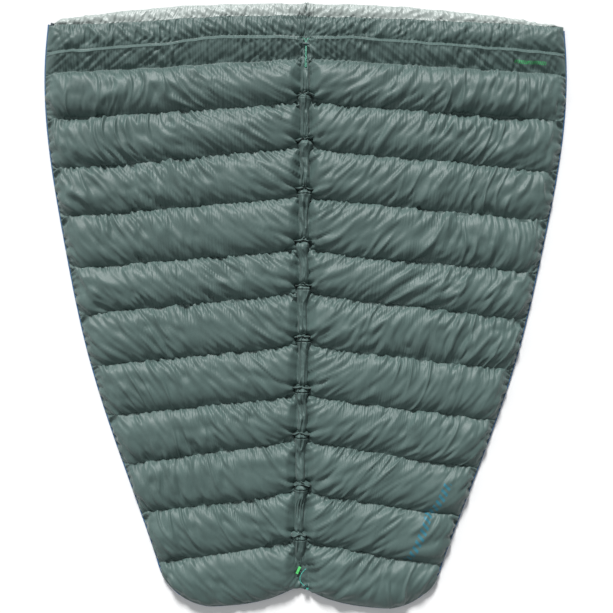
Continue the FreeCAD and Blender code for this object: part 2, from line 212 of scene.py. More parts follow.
def nylon(name, color, roughness, sheen, pucker=1.0):
    """Satin down-proof nylon: cloudy colour, a fine weave, and crinkles that gather along the seams."""
    look = Look(name, color, roughness)
    uv = look.coordinates()
    clouds = look.noise(uv, 9.0, 4.0, 0.6)
    streaks = look.noise(look.coordinates((60, 9, 1)), 1.0, 3.0, 0.6)
    look.tint(look.scaled(clouds, 0.6, look.math("MULTIPLY", streaks, 0.4)), color, 0.72, 1.28)
    look.set("Roughness", look.scaled(look.noise(uv, 30.0, 2.0), 0.14, roughness - 0.07))
    look.set("Sheen Weight", sheen)
    look.set("Sheen Roughness", 0.4)
    seams = look.node("ShaderNodeAttribute", {"attribute_name": "pucker"}).outputs["Fac"]
    streaks_along = look.noise(look.coordinates((120, 20, 1)), 1.0, 3.0, 0.6, 0.5)
    grain = look.noise(look.coordinates((105, 105, 1)), 1.0, 3.0, 0.6, 0.2)
    fine = look.scaled(streaks_along, 0.8, look.math("MULTIPLY", grain, 0.35))
    crinkle = look.math("MULTIPLY", fine, look.scaled(seams, pucker, 0.25))
    weave = look.math("ADD", look.wave(uv, 520.0, "X"), look.wave(uv, 520.0, "Y"))
    threads = look.noise(uv, 120.0, 4.0, 0.6)
    look.emboss((crinkle, 1.0, 0.0024), (threads, 0.35, 0.0006), (weave, 0.25, 0.00012))
    return look


def tape(name, color, rib, roughness=0.65, kind="UV"):
    """Woven tape: ribs across it, painted lighter on their crests and darker between them as painted shade,
    and worn flecks.
    """
    look = Look(name, color, roughness)
    uv = look.coordinates(kind=kind)
    ribs = look.wave(uv, rib, "Y")
    flecks = look.noise(uv, 260.0, 3.0, 0.6)
    # the rib pattern also sets the colour: painted shade between the ribs and lighter crests, mixed with the
    # worn flecks
    look.tint(look.scaled(ribs, 0.45, look.math("MULTIPLY", flecks, 0.55)), color, 0.65, 1.5)
    look.emboss((ribs, 0.5, 0.0003), (flecks, 0.4, 0.0002))
    return look


def braid(name, light, dark, scale=620.0):
    """Braided cord: two strands crossing over each other, with a little fuzz."""
    look = Look(name, light, 0.5)
    lean = math.radians(38)
    one, two = (look.wave(look.coordinates((1, 1, 0.4), turn, "Object"), scale) for turn in (lean, -lean))
    place = look.coordinates(kind="Object")
    patch = look.math("GREATER_THAN", look.noise(place, 240.0, 1.0), 0.52)
    dark_share = look.math("MULTIPLY", look.math("GREATER_THAN", one, two), patch)
    look.set("Base Color", look.mix(dark_share, rgb(light), rgb(dark)))
    look.emboss((look.math("MAXIMUM", one, two), 0.7, 0.0004), (look.noise(place, 2600.0, 2.0), 0.3, 0.0001))
    return look


def down():
    """Loose down seen through thin cloth: creamy clusters, painted darker towards their edges as painted
    shade between them.
    """
    color = (0.80, 0.78, 0.73)
    look = Look("down_clusters", color, 0.95)
    clusters = look.cells(70.0)
    fuzz = look.noise(look.coordinates(kind="Object"), 400.0, 5.0, 0.7)
    # each cluster is painted lighter at its middle and darker towards its edges: painted shade between the
    # clusters
    look.tint(clusters, color, 1.1, 0.75)
    look.emboss((clusters, 0.6, 0.004), (fuzz, 0.6, 0.001))
    return look


def plastic(name, color, roughness):
    """Moulded plastic with a faint spark-eroded texture."""
    look = Look(name, color, roughness)
    place = look.coordinates(kind="Object")
    patches = look.noise(place, 160.0, 2.0)
    look.tint(patches, color, 0.8, 1.35)
    look.set("Roughness", look.scaled(patches, 0.2, roughness - 0.1))
    look.emboss((look.noise(place, 1800.0, 3.0), 0.3, 0.00008))
    return look


def steel():
    """Spring wire: turns with dark gaps between them, the dark painted in as painted shade."""
    look = Look("spring_wire", (0.6, 0.6, 0.6), 0.3)
    look.set("Metallic", 1.0)
    turns = look.wave(look.coordinates(kind="Object"), 700.0)
    # the colour follows the turns: painted shade in the gaps between them
    look.set("Base Color", look.mix(turns, (0.35, 0.35, 0.36, 1), (0.72, 0.72, 0.71, 1)))
    look.emboss((turns, 0.8, 0.0004))
    return look


def mesh_cloth():
    """Fine white mesh of the baffle walls, with its holes painted dark grey as painted shade seen through
    them.
    """
    look = Look("wall_mesh", (0.75, 0.76, 0.75), 0.8)
    cells = look.cells(650.0, "DISTANCE_TO_EDGE")
    # the holes are painted dark grey: painted shade behind the mesh
    holes = look.math("GREATER_THAN", cells, 0.12)
    look.set("Base Color", look.mix(holes, (0.8, 0.81, 0.8, 1), (0.30, 0.31, 0.31, 1)))
    look.emboss((cells, 0.6, 0.0004))
    return look


def printed_bars(look, start, end, height, pitch, duty, color):
    """Adds a row of plain slanted bars, printed from start to end on the quilt's plan."""
    base = look.shader.inputs["Base Color"].links[0].from_socket
    length = math.dist(start, end)
    turn = math.atan2(end[1] - start[1], end[0] - start[0])
    texture = look.node("ShaderNodeTexCoord").outputs["UV"]
    moved = look.node("ShaderNodeVectorMath", {"operation": "SUBTRACT"})
    look.feed(moved.inputs[0], texture)
    moved.inputs[1].default_value = (*start, 0)
    turned = look.node("ShaderNodeMapping", Vector=moved.outputs[0], Rotation=(0, 0, -turn))
    along, across = look.node("ShaderNodeSeparateXYZ", Vector=turned.outputs[0]).outputs[:2]
    leaning = look.scaled(across, -0.3, along)
    bars = look.math("LESS_THAN", look.math("FRACT", look.math("DIVIDE", leaning, pitch)), duty)
    rows = look.math("LESS_THAN", look.math("ABSOLUTE", across), height / 2)
    from_middle = look.math("ABSOLUTE", look.math("SUBTRACT", along, length / 2))
    inside = look.math("LESS_THAN", from_middle, length / 2)
    worn = look.math("GREATER_THAN", look.noise(texture, 240.0, 3.0), 0.36)
    mask = look.math("MULTIPLY", look.math("MULTIPLY", bars, rows), look.math("MULTIPLY", inside, worn))
    look.set("Base Color", look.mix(mask, base, rgb(color)))


# ------------------------------------------------ mesh helpers

def mesh_object(name, points, faces, material=None):
    mesh = bpy.data.meshes.new(name)
    mesh.from_pydata(np.asarray(points, float).reshape(-1, 3).tolist(), [], [tuple(f) for f in faces])
    mesh.polygons.foreach_set("use_smooth", [True] * len(mesh.polygons))
    mesh.update()
    obj = bpy.data.objects.new(name, mesh)
    bpy.context.scene.collection.objects.link(obj)
    if material:
        mesh.materials.append(material)
    return obj


def grid_faces(rows, columns, flip=False, wrap=False):
    index = np.arange(rows * columns).reshape(rows, columns)
    if wrap:
        index = np.concatenate([index, index[:, :1]], 1)
    a, b, c, d = index[:-1, :-1], index[1:, :-1], index[1:, 1:], index[:-1, 1:]
    order = (a, d, c, b) if flip else (a, b, c, d)
    return np.stack(order, -1).reshape(-1, 4).tolist()


def tube_faces(rings, count, flip, flip_caps):
    """Faces of a closed tube of rings with as many points each, and a cap on either end."""
    first, last = list(range(count)), [(rings - 1) * count + i for i in range(count)]
    caps = [first[::-1], last] if flip_caps else [first, last[::-1]]
    return grid_faces(rings, count, flip, wrap=True) + caps


def first_rows(grid, bands):
    """The first row of each of these bands."""
    return [int(np.flatnonzero(grid["band"] == band)[0]) for band in bands]


def add_uv(obj, plan):
    """UVs in metres from one (x, y) for each point."""
    layer = obj.data.uv_layers.new(name="plan")
    loops = np.empty(len(obj.data.loops), int)
    obj.data.loops.foreach_get("vertex_index", loops)
    layer.data.foreach_set("uv", np.asarray(plan, np.float32).reshape(-1, 2)[loops].ravel())


def add_pucker(obj, values):
    attribute = obj.data.attributes.new("pucker", "FLOAT", "POINT")
    attribute.data.foreach_set("value", np.asarray(values, np.float32).ravel())


def cross_fold(piece, half):
    """Right-half pieces ride on the right half; left-half ones are baked where they lie and stay unattached.
    """
    if half == "right":
        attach(piece, "right_half")
    else:
        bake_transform(piece)


# ------------------------------------------------ repeatable noise

def lattice(x, y, seed):
    """Random heights at the corners of each point's cell, one unit wide, and its place in the cell."""
    table = np.random.RandomState(seed).rand(256, 256)
    xi, yi = np.floor(x).astype(int), np.floor(y).astype(int)
    a, b = table[xi % 256, yi % 256], table[(xi + 1) % 256, yi % 256]
    c, d = table[xi % 256, (yi + 1) % 256], table[(xi + 1) % 256, (yi + 1) % 256]
    return a, b, c, d, x - xi, y - yi


def lattice_noise(x, y, seed):
    """Smooth noise from 0 to 1, with hills about one unit apart."""
    a, b, c, d, fx, fy = lattice(x, y, seed)
    fx, fy = fx * fx * (3 - 2 * fx), fy * fy * (3 - 2 * fy)
    return (a * (1 - fx) + b * fx) * (1 - fy) + (c * (1 - fx) + d * fx) * fy


# ------------------------------------------------ the quilt's plan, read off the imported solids

def corners(node):
    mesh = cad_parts[node].data
    points = np.empty(len(mesh.vertices) * 3)
    mesh.vertices.foreach_get("co", points)
    return points.reshape(-1, 3)


def read_outline():
    """The right half's side edge and its foot edge, as points in order of Y and of X."""
    edge = corners("lining_right")
    edge = np.unique(np.round(edge[edge[:, 2] > 0.0005][:, :2], 5), axis=0)
    lobe = edge[edge[:, 1].argmin()]
    side = edge[edge[:, 0] >= lobe[0]]
    foot = edge[edge[:, 1] < -0.828]
    return side[np.argsort(side[:, 1])], foot[np.argsort(foot[:, 0])]


SIDE, FOOT = read_outline()


def side_x(y):
    """The side edge, with the straight pieces between its points eased."""
    spread = (-0.03, -0.015, 0.0, 0.015, 0.03)
    return sum(np.interp(np.asarray(y) + shift, SIDE[:, 1], SIDE[:, 0]) for shift in spread) / len(spread)


def edge_line(node, upper, gap):
    """The cross line beside a right-half node's upper or lower edge, as (Y at the centre, Y at the side)."""
    points = corners(node) * np.array([1, 1 if upper else -1, 1])
    near = points[points[:, 0] < points[:, 0].min() + 0.003]
    far = points[points[:, 0] > points[:, 0].max() * 0.8]
    a, b = near[near[:, 1].argmax()], far[far[:, 1].argmax()]
    sign = 1 if upper else -1
    slope = sign * (b[1] - a[1]) / (b[0] - a[0])
    centre = sign * a[1] + sign * gap - slope * a[0]
    side = centre
    for _ in range(6):
        side = centre + slope * float(side_x(side))
    return centre, side


def read_lines():
    """Cross lines head to foot: the lip's free edge, the collar, the neck channel and the seams."""
    lip = corners("lining_lip_right")
    inner, outer = lip[lip[:, 0] < lip[:, 0].min() + 0.001], lip[lip[:, 0] > lip[:, 0].max() - 0.001]
    fills = [corners(f"down_fill_{i:02d}_right") for i in (1, 2)]
    inner_ends = [fill[fill[:, 0] < fill[:, 0].min() + 0.001][:, 1] for fill in fills]
    gap = (inner_ends[0].min() - inner_ends[1].max()) / 2
    lines = [(inner[:, 1].max(), outer[:, 1].max()), edge_line("collar_shell_right", True, 0)]
    lines += [edge_line("collar_shell_right", False, 0), edge_line("neck_channel_right", False, 0)]
    return lines + [edge_line(f"down_fill_{i:02d}_right", True, gap) for i in range(1, CHAMBERS + 1)]


LINES = read_lines()
# how far the cloth wanders from the straight lines, seen in the photo: (share of the half's width, metres up)
WANDER = {
    "left": {1: ((0, 0.005), (0.35, 0.006), (0.75, -0.009), (1, -0.012)),
             2: ((0, -0.001), (0.22, 0.009), (0.4, 0.008), (0.5, -0.003), (0.8, -0.014), (1, -0.022)),
             3: ((0, 0.002), (0.22, 0.014), (0.4, 0.014), (0.5, 0.004), (0.8, -0.006), (1, -0.014)),
             4: ((0, 0), (1, -0.016)), 5: ((0, 0), (1, -0.015)),
             6: ((0, 0), (0.25, 0), (0.65, -0.010), (1, -0.012)),
             7: ((0, 0), (1, -0.008)), 8: ((0, 0), (1, -0.003))},
    "right": {1: ((0, 0.001), (0.4, 0.005), (1, 0.004)),
              2: ((0, -0.001), (0.18, 0.007), (0.45, 0.003), (0.75, 0.000), (1, -0.006)),
              3: ((0, 0.002), (0.18, 0.013), (0.45, 0.010), (0.75, 0.008), (1, 0.002))},
}
LIP_END_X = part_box("lining_lip_right")[1][0]
CORNER_Y = LINES[-1][1] - 0.042         # where the side turns into the foot edge for the shell's last rows


def foot_y(x):
    notch = FOOT[0] + (FOOT[0] - FOOT[1]) * FOOT[0, 0] / (FOOT[1, 0] - FOOT[0, 0])
    return np.interp(x, np.append(notch[0], FOOT[:, 0]), np.append(notch[1], FOOT[:, 1]))


def lip_y(x):
    (centre, end), bend = LINES[0], 2.3
    return centre - (centre - end) * (x / LIP_END_X) ** bend


# ------------------------------------------------ cloth simulation of each half's outer fabric

LIP, COLLAR, CHANNEL, NECK = 0, 1, 2, 3                 # bands, then one for each chamber
BAND_ROWS = [8, 10, 5, 8] + [20] * CHAMBERS
BAND_SLACK = [0.10, 0.05, 0.30, 0.03] + [0.205] * CHAMBERS      # how much longer than flat it is cut
SEAM_Z = [0.004, 0.0160, 0.0190, 0.0350, 0.0120] + [0.0165] * (CHAMBERS - 1) + [0.0095]
CENTRE_COLUMNS, SIDE_COLUMNS = 12, 186
CENTRE_STEP = 0.0026


def column_shares():
    """Shares of a row's width: fine steps at the gather, wider ones out to the side."""
    width = float(side_x(0.9))
    near = np.arange(CENTRE_COLUMNS) * CENTRE_STEP
    far = np.linspace(CENTRE_COLUMNS * CENTRE_STEP, width, SIDE_COLUMNS + 1)
    return np.concatenate([near, far]) / width


def line_points(number, share, half):
    """Points along one cross line of the quilt, from the centre to the shell's side edge."""
    if number == 0:
        x = share * (LIP_END_X - EDGE_INSET)
        return x, lip_y(x)
    if number == len(LINES):
        x = share * float(np.interp(CORNER_Y, SIDE[:, 1], SIDE[:, 0]) - EDGE_INSET)
        return x, foot_y(x) + FOOT_INSET
    centre, end = LINES[number]
    x = share * (side_x(end) - EDGE_INSET)
    rise = 0.012 * np.exp(-x / 0.045) if number > NECK + 1 else 0
    if number in WANDER[half]:
        rise = rise + np.interp(share, *zip(*WANDER[half][number]))
    return x, centre + (end - centre) * share + rise


def plan_row(band, f, share, half):
    """A row's points on the plan, a fraction f of the way from the band's upper line to its lower one."""
    upper, lower = line_points(band, share, half), line_points(band + 1, share, half)
    x = upper[0] + (lower[0] - upper[0]) * f
    y = upper[1] + (lower[1] - upper[1]) * f
    edge = side_x(y[-1]) - EDGE_INSET if band > LIP else x[-1]
    return np.stack([x + (edge - x[-1]) * share ** 6, y], 1)


def plan_grid(half):
    """Grid points on the plan, with each row's band, fraction and whether it is a seam."""
    share = column_shares()
    rows, band_of, fraction, seam = [], [], [], []
    for band, count in enumerate(BAND_ROWS):
        last = band == len(BAND_ROWS) - 1
        for i in range(count + (1 if last else 0)):
            u = i / count
            f = u - 0.5 * math.sin(2 * math.pi * u) / (2 * math.pi)
            rows.append(plan_row(band, f, share, half))
            band_of.append(band)
            fraction.append(f)
            seam.append(i == 0 or i == count)
    return np.array(rows), np.array(band_of), np.array(fraction), np.array(seam), share


def pull(points, free, first, second, length, stiffness, only_push=False):
    """Moves both ends of each pair of grid points towards the length between them."""
    a, b = points[first], points[second]
    gap = b - a
    distance = np.sqrt(np.einsum("ijk,ijk->ij", gap, gap)) + 1e-9
    wa, wb = free[first], free[second]
    stretch = distance - length
    if only_push:
        stretch = np.minimum(stretch, 0)
    share = stiffness * stretch / (distance * np.maximum(wa + wb, 1))
    a += gap * (share * wa)[..., None]
    b -= gap * (share * wb)[..., None]


def pair_slices(rows, columns):
    """Pairs that share no point, so that each group moves at once: (kind, first, second)."""
    every = slice(None)
    groups = []
    for o in (0, 1):
        groups.append(("x", (every, slice(o, columns - 1, 2)), (every, slice(o + 1, columns, 2))))
        groups.append(("y", (slice(o, rows - 1, 2), every), (slice(o + 1, rows, 2), every)))
        a, b = slice(o, rows - 1, 2), slice(o + 1, rows, 2)
        groups.append(("d", (a, slice(0, columns - 1)), (b, slice(1, columns))))
        groups.append(("e", (a, slice(1, columns)), (b, slice(0, columns - 1))))
    for o in range(4):
        groups.append(("xx", (every, slice(o, columns - 2, 4)), (every, slice(o + 2, columns, 4))))
        groups.append(("yy", (slice(o, rows - 2, 4), every), (slice(o + 2, rows, 4), every)))
    return groups


STIFFNESS = {"x": 1.0, "y": 1.0, "d": 0.25, "e": 0.25, "xx": 0.25, "yy": 0.15}


def rest_lengths(plan, wide, long):
    """The cut's lengths between grid points: the plan's, made wider and longer."""
    def dist(a, b):
        return np.linalg.norm(b - a, axis=-1)
    x = dist(plan[:, :-1], plan[:, 1:]) * (1 + (wide[:, :-1] + wide[:, 1:]) / 2)
    y = dist(plan[:-1], plan[1:]) * (1 + (long[:-1] + long[1:]) / 2)
    cell = np.hypot((x[:-1] + x[1:]) / 2, (y[:, :-1] + y[:, 1:]) / 2)
    flat = np.hypot(dist(plan[:-1, :-1], plan[:-1, 1:]), dist(plan[:-1, :-1], plan[1:, :-1])) + 1e-9
    return {"x": x, "y": y, "d": dist(plan[:-1, :-1], plan[1:, 1:]) * cell / flat,
            "e": dist(plan[:-1, 1:], plan[1:, :-1]) * cell / flat,
            "xx": x[:, :-1] + x[:, 1:], "yy": y[:-1] + y[1:]}


def settle(points, free, lengths, steps, pressure):
    """Position-based cloth: gas pressure under the fabric against its rest lengths, until it is at rest."""
    points = points.astype(np.float32)
    free = free.astype(np.float32)
    groups = []
    for kind, first, second in pair_slices(*points.shape[:2]):
        part = lengths[kind][first[0]] if kind in "de" else lengths[kind][first]
        groups.append((first, second, part.astype(np.float32), STIFFNESS[kind], kind in ("xx", "yy")))
    last = points.copy()
    for step in range(steps):
        push = pressure * min(1.0, 3.0 * (steps - step) / steps)
        normal = np.cross(np.gradient(points, axis=0), np.gradient(points, axis=1))
        normal /= np.linalg.norm(normal, axis=-1)[..., None] + 1e-12
        moved = points + (0.9 * (points - last) + normal * push) * free[..., None]
        last = points
        points = moved
        for first, second, part, stiffness, only_push in groups:
            pull(points, free, first, second, part, stiffness, only_push)
        np.minimum(points[..., 2], CEILING - 0.0055, out=points[..., 2])
    return points


def simulate_half(half):
    """One half's settled outer fabric, drawn as a right half, with its plan and each row's band and place."""
    plan, band, f, seam, share = plan_grid(half)
    seed = 11 if half == "right" else 47
    x, y = plan[..., 0], plan[..., 1]
    u = share[None, :] + 0 * x
    f = f[:, None] + 0 * x
    chamber = (band > NECK)[:, None]
    last = (band == len(BAND_ROWS) - 1)[:, None]

    # fixed lines: seams, the gather on the centre line and the side edge
    z_upper = np.array(SEAM_Z)[band][:, None]
    z_lower = np.array(SEAM_Z)[band + 1][:, None]
    line_z = z_upper + (z_lower - z_upper) * f
    side = np.clip((u - 0.95) / 0.05, 0, 1) ** 1.5
    line_z = line_z * (1 - side) + 0.0100 * side
    gather = np.exp(-(x / 0.016) ** 2)
    dimple = np.exp(-((f - 0.86) / 0.07) ** 2)
    ridge_z = np.where(chamber, 0.036 - 0.014 * dimple - 0.003 * np.exp(-f / 0.03), 0.011)
    ridge_z = np.where(last, 0.034 - 0.024 * f, ridge_z)
    base_z = line_z * (1 - gather) + ridge_z * gather
    ends = np.clip(x / 0.03, 0, 1) * np.clip((1 - u) / 0.05, 0, 1)
    fine_ripple = 0.35 * lattice_noise(x / 0.0085, y / 0.05 + 3, seed)
    ripple = fine_ripple + lattice_noise(x / 0.021, y / 0.05, seed + 8) - 0.67
    wander = lattice_noise(x / 0.045, y / 0.2 + 7, seed + 1) - 0.5
    rise = np.array([0.008, 0.005, 0.006, 0.006] + [0.024] * CHAMBERS)[band][:, None]
    folds = lattice_noise((x + 0.35 * y) / 0.022, y / 0.12, seed + 2) - 0.5
    fold_height = 0.003 * folds * ends * np.where(chamber, 4 * f * (1 - f), 0.6)
    z = base_z + rise * 4 * f * (1 - f) * ends + fold_height
    on_seam = seam[:, None] & (x > 0.006)
    z = z + np.where(on_seam, 0.0012 * ripple, 0) * ends
    y = y + np.where(on_seam, 0.0014 * ripple + 0.005 * wander, 0.005 * wander) * ends
    points = np.stack([x, y, z], -1)
    fixed = on_seam | (u == 0) | (u == 1)

    # the cut: longer than flat across each chamber, and wider where the seams and the gather pucker it
    near = np.minimum(f, 1 - f)
    patch = lattice_noise(x / 0.09, y / 0.07, seed + 3)
    slant = np.where(u > 0.7, 0.3, -0.6)
    drawn = lattice_noise((x + slant * y) / 0.06, y / 0.3, seed + 4) - 0.5
    pucker = np.exp(-near / 0.10) * (0.35 + 1.1 * patch)
    wide = 0.014 + 0.05 * pucker + 0.05 * np.maximum(drawn, 0)
    wide = wide + 0.45 * np.exp(-x / 0.012) + 0.05 * np.exp(-x / 0.07)
    head = np.array([0.02, 0.04, 0.02, 0.03] + [0.0] * CHAMBERS)[band][:, None]
    wide = wide + head * (0.5 + patch + 0.8 * np.exp(-x / 0.09))
    loft = lattice_noise(x / 0.20, y / 0.11, seed + 6) - 0.5
    long = np.array(BAND_SLACK)[band][:, None] * (1 + 0.45 * loft) + 0.10 * np.exp(-x / 0.02) * chamber
    steps = 320
    settled = settle(points, ~fixed, rest_lengths(plan, wide, long), steps, 0.00022)
    strength = np.clip(pucker + 0.7 * np.exp(-x / 0.03) + np.where(chamber, 0, 0.4), 0, 1.4)
    return settled, plan, band, f[:, 0], strength


# ------------------------------------------------ finer shape: creases on the settled fabric

def ridges(x, y, seed, sharp):
    """Creases from 0 to 1 that run along Y, about one unit apart across X."""
    return (1 - np.abs(2 * lattice_noise(x, y, seed) - 1)) ** sharp


def facets(x, y, seed):
    """Crumple from 0 to 1: flat triangles between random heights a unit apart, with sharp creases."""
    a, b, c, d, fx, fy = lattice(x, y, seed)
    near = a + (b - a) * fx + (c - a) * fy
    far = d + (c - d) * (1 - fx) + (b - d) * (1 - fy)
    return np.where(fx + fy < 1, near, far)


def teeth(x, distance, spacing, reach, seed):
    """Puckers of random strength and length that start on a line and taper off with distance from it."""
    place = x / spacing + 0.9 * lattice_noise(x / (2.5 * spacing), 0 * x, seed)
    each = np.floor(place).astype(int) % 256
    random = np.random.RandomState(seed + 1).rand(2, 256)
    saw = 1 - np.abs(2 * (place - np.floor(place)) - 1)
    length = reach[0] + (reach[1] - reach[0]) * random[1][each] ** 2
    return (saw - 0.45) * (0.25 + 0.75 * random[0][each]) * np.clip(1 - distance / length, 0, 1)


def fan(x, y, centre_y, rays, reach, seed):
    """Folds that spread from a point on the centre line, from -0.5 to 0.5."""
    radius = np.hypot(x, y - centre_y)
    turn = np.arctan2(y - centre_y, x + 0.002) / math.pi * rays
    turn = turn + 0.7 * lattice_noise(turn * 0.7, radius / 0.03, seed)
    saw = 1 - np.abs(2 * (turn - np.floor(turn)) - 1)
    strength = np.random.RandomState(seed).rand(256)[np.floor(turn).astype(int) % 256]
    return (saw - 0.5) * (0.3 + 0.7 * strength) * np.exp(-radius / reach) * np.clip(radius / 0.012, 0, 1)


def doubled(grid):
    """The grid with a column put halfway between each pair, on a smooth curve."""
    before = np.concatenate([grid[:, :1], grid[:, :-1]], 1)
    after = np.concatenate([grid[:, 1:], grid[:, -1:]], 1)
    last = np.concatenate([after[:, 1:], after[:, -1:]], 1)
    between = (9 * (grid + after) - before - last) / 16
    fine = np.stack([grid, between], 2).reshape(grid.shape[0], -1, *grid.shape[2:])
    return fine[:, :-1]


def refined(grid, starts):
    """The grid with twice the columns and, within each band, twice the rows; seams stay sharp."""
    grid = doubled(grid)
    parts = [doubled(grid[a:b + 1].swapaxes(0, 1)).swapaxes(0, 1)[:-1] for a, b in zip(starts, starts[1:])]
    return np.concatenate(parts + [grid[-1:]])


def surface_normals(points):
    normal = np.cross(np.gradient(points, axis=0), np.gradient(points, axis=1))
    return normal / (np.linalg.norm(normal, axis=-1)[..., None] + 1e-12)


def crease(points, plan, band, fraction, seed):
    """Adds puckers beside each seam, long folds across the chambers, crumple, and fans at the gathers."""
    x, y = plan[..., 0], plan[..., 1]
    f = fraction[:, None] + 0 * x
    chamber = (band > NECK)[:, None]
    length = np.where(chamber, 0.16, 0.05)
    below, above = f * length, (1 - f) * length
    shift = band[:, None] * 17.3
    out = np.clip(x / 0.45, 0, 1)
    patch = 0.5 + 0.9 * lattice_noise(x / 0.09, y / 0.07, seed)
    turning = 1.2 * (lattice_noise(x / 0.30 + 3, y / 0.20, seed + 5) - 0.5)
    slant = 0.65 * out - 1.05 + turning * (0.4 + 0.6 * out)
    across = x - slant * below
    swell = np.clip(np.minimum(f, 1 - f) / 0.10, 0, 1)

    # short puckers at both edges of a band
    lift = 0.0105 * teeth(x - 0.8 * slant * below, below, 0.021, (0.016, 0.075), seed + 33) * patch
    lift += 0.0034 * teeth(x + shift, below, 0.0145, (0.008, 0.030), seed + 37) * patch
    lift += 0.0060 * teeth(x + 0.5 * slant * above + shift, above, 0.036, (0.015, 0.075), seed + 41) * patch

    # crumple: flat facets drawn out along the folds
    warp = 1.1 * lattice_noise(x / 0.05, y / 0.05, seed + 1)
    coarse = facets(across / 0.030 + warp + shift, below / 0.056 - warp, seed + 2) - 0.65
    fine = facets(across / 0.013 - warp + shift, below / 0.026 + warp, seed + 3) - 0.6
    lift += (0.0095 * coarse * (0.6 + 0.4 * out) + 0.0090 * fine) * patch * (0.35 + 0.65 * swell)

    # long sharp folds, in patches and mostly out to the side
    zone = np.clip(2.8 * lattice_noise(x / 0.12, y / 0.09, seed + 6) - 1.1 + 0.5 * out, 0, 1)
    field = lattice_noise(across / 0.034 + shift, below / 0.16, seed + 7)
    blade = np.clip(1 - np.abs(field - 0.5) / 0.15, 0, 1)
    lift += 0.0065 * (blade - 0.25) * zone * swell * chamber
    lift -= 0.005 * np.exp(-below / 0.007) * (band[:, None] == NECK) * np.clip(below / 0.002, 0, 1)

    # the head's bands, and the gathers along the centre line
    lift = lift * np.where(chamber, 1, np.array([0.4, 0.7, 0.2, 0.6] + [1] * CHAMBERS)[band][:, None])
    slope = np.where(y > 0.87, 1.6, -1.1)
    head = facets((x - slope * (y - 0.87)) / 0.016 + 0.4 * warp, (y + 0.4 * x) / 0.035, seed + 9) - 0.5
    lift += np.array([0.0050, 0.0080, 0.0020, 0.0070] + [0] * CHAMBERS)[band][:, None] * head * swell
    lift += 0.009 * fan(x, y, 0.868, 11, 0.055, seed + 12) * ~chamber
    lift += 0.013 * fan(x, y, -0.846, 12, 0.048, seed + 13) * (band[:, None] >= NECK + CHAMBERS - 1)
    rows = [np.flatnonzero((band == NECK + i) & (fraction > 0.85))[0] for i in range(1, CHAMBERS)]
    for number, row in enumerate(rows):
        pinch = y[row, 0]
        lift += 0.018 * fan(x, y, pinch, 5, 0.032, seed + 14 + number)
        lift -= 0.022 * np.exp(-x / 0.045 - ((y - pinch - 0.20 * x) / 0.0075) ** 2)
        lift -= 0.018 * np.exp(-x / 0.036 - ((y - pinch + 0.42 * x) / 0.0070) ** 2)
    comb = ridges(x / 0.0075 + 0.5 * lattice_noise(y / 0.03, x * 0, seed + 10), y / 0.05, seed + 8, 1.0) - 0.5
    lift += 0.0050 * comb * np.exp(-(x / 0.022) ** 2)

    ends = np.clip((x[:, -1:] - x) / 0.035, 0, 1) * np.clip(x / 0.003, 0, 1)
    ends = ends * np.clip(np.minimum(below, above) / 0.010, 0.12, 1)
    ends = ends * np.where(band == LIP, np.clip(fraction / 0.4, 0, 1), 1)[:, None]
    shaped = points + surface_normals(points) * (lift * ends)[..., None]
    from_side = np.maximum(x[:, -1:] - x, 0)
    side_top = 0.0100 + 0.0505 * (from_side / 0.060) ** 0.72
    shaped[..., 2] = np.clip(np.minimum(shaped[..., 2], side_top), 0.0012, CEILING + 0.0012)
    return shaped


VALLEY_Y = (-0.92, -0.86, -0.83, -0.78, 0.70, 0.765, 0.90, 0.95)
VALLEY_FLOOR = (0.0200, 0.0205, 0.0250, 0.0300, 0.0300, 0.0200, 0.0185, 0.0400)
VALLEY_MIDDLE = (0.0140, 0.0100, 0.0030, 0, 0, 0, 0, 0)
VALLEY_HALF_WIDTH = (0.0180, 0.0170, 0.0160, 0.0160, 0.0160, 0.0120, 0.0140, 0.0120)


def soft_least(a, b, blend=0.0035):
    return -blend * np.logaddexp(-a / blend, -b / blend)


def centre_valley(points, sign, wall=0.85):
    """Keeps fabric down along the centre line, under the gathered strip and the drawcords."""
    floor, middle, width = (np.interp(points[..., 1], VALLEY_Y, values)
                            for values in (VALLEY_FLOOR, VALLEY_MIDDLE, VALLEY_HALF_WIDTH))
    outside = np.maximum(np.abs(points[..., 0] - sign * middle) - width, 0)
    points[..., 2] = soft_least(points[..., 2], floor + wall * outside)
    return points


def under_cords(points):
    """Takes fabric just clear of the drawcords that lie on it."""
    for route in (NECK_LEG + [NECK_KNOT], RIGHT_NECK_LEG, FOOT_CORD + [FOOT_KNOT]):
        for place in resample(route, 0.003)[0]:
            distance = np.hypot(points[..., 0] - place[0], points[..., 1] - place[1])
            top = place[2] - 0.0035 + 1.2 * np.maximum(distance - 0.004, 0)
            points[..., 2] = np.maximum(np.minimum(points[..., 2], top), 0.0015)
    return points


# ------------------------------------------------ outer fabric pieces

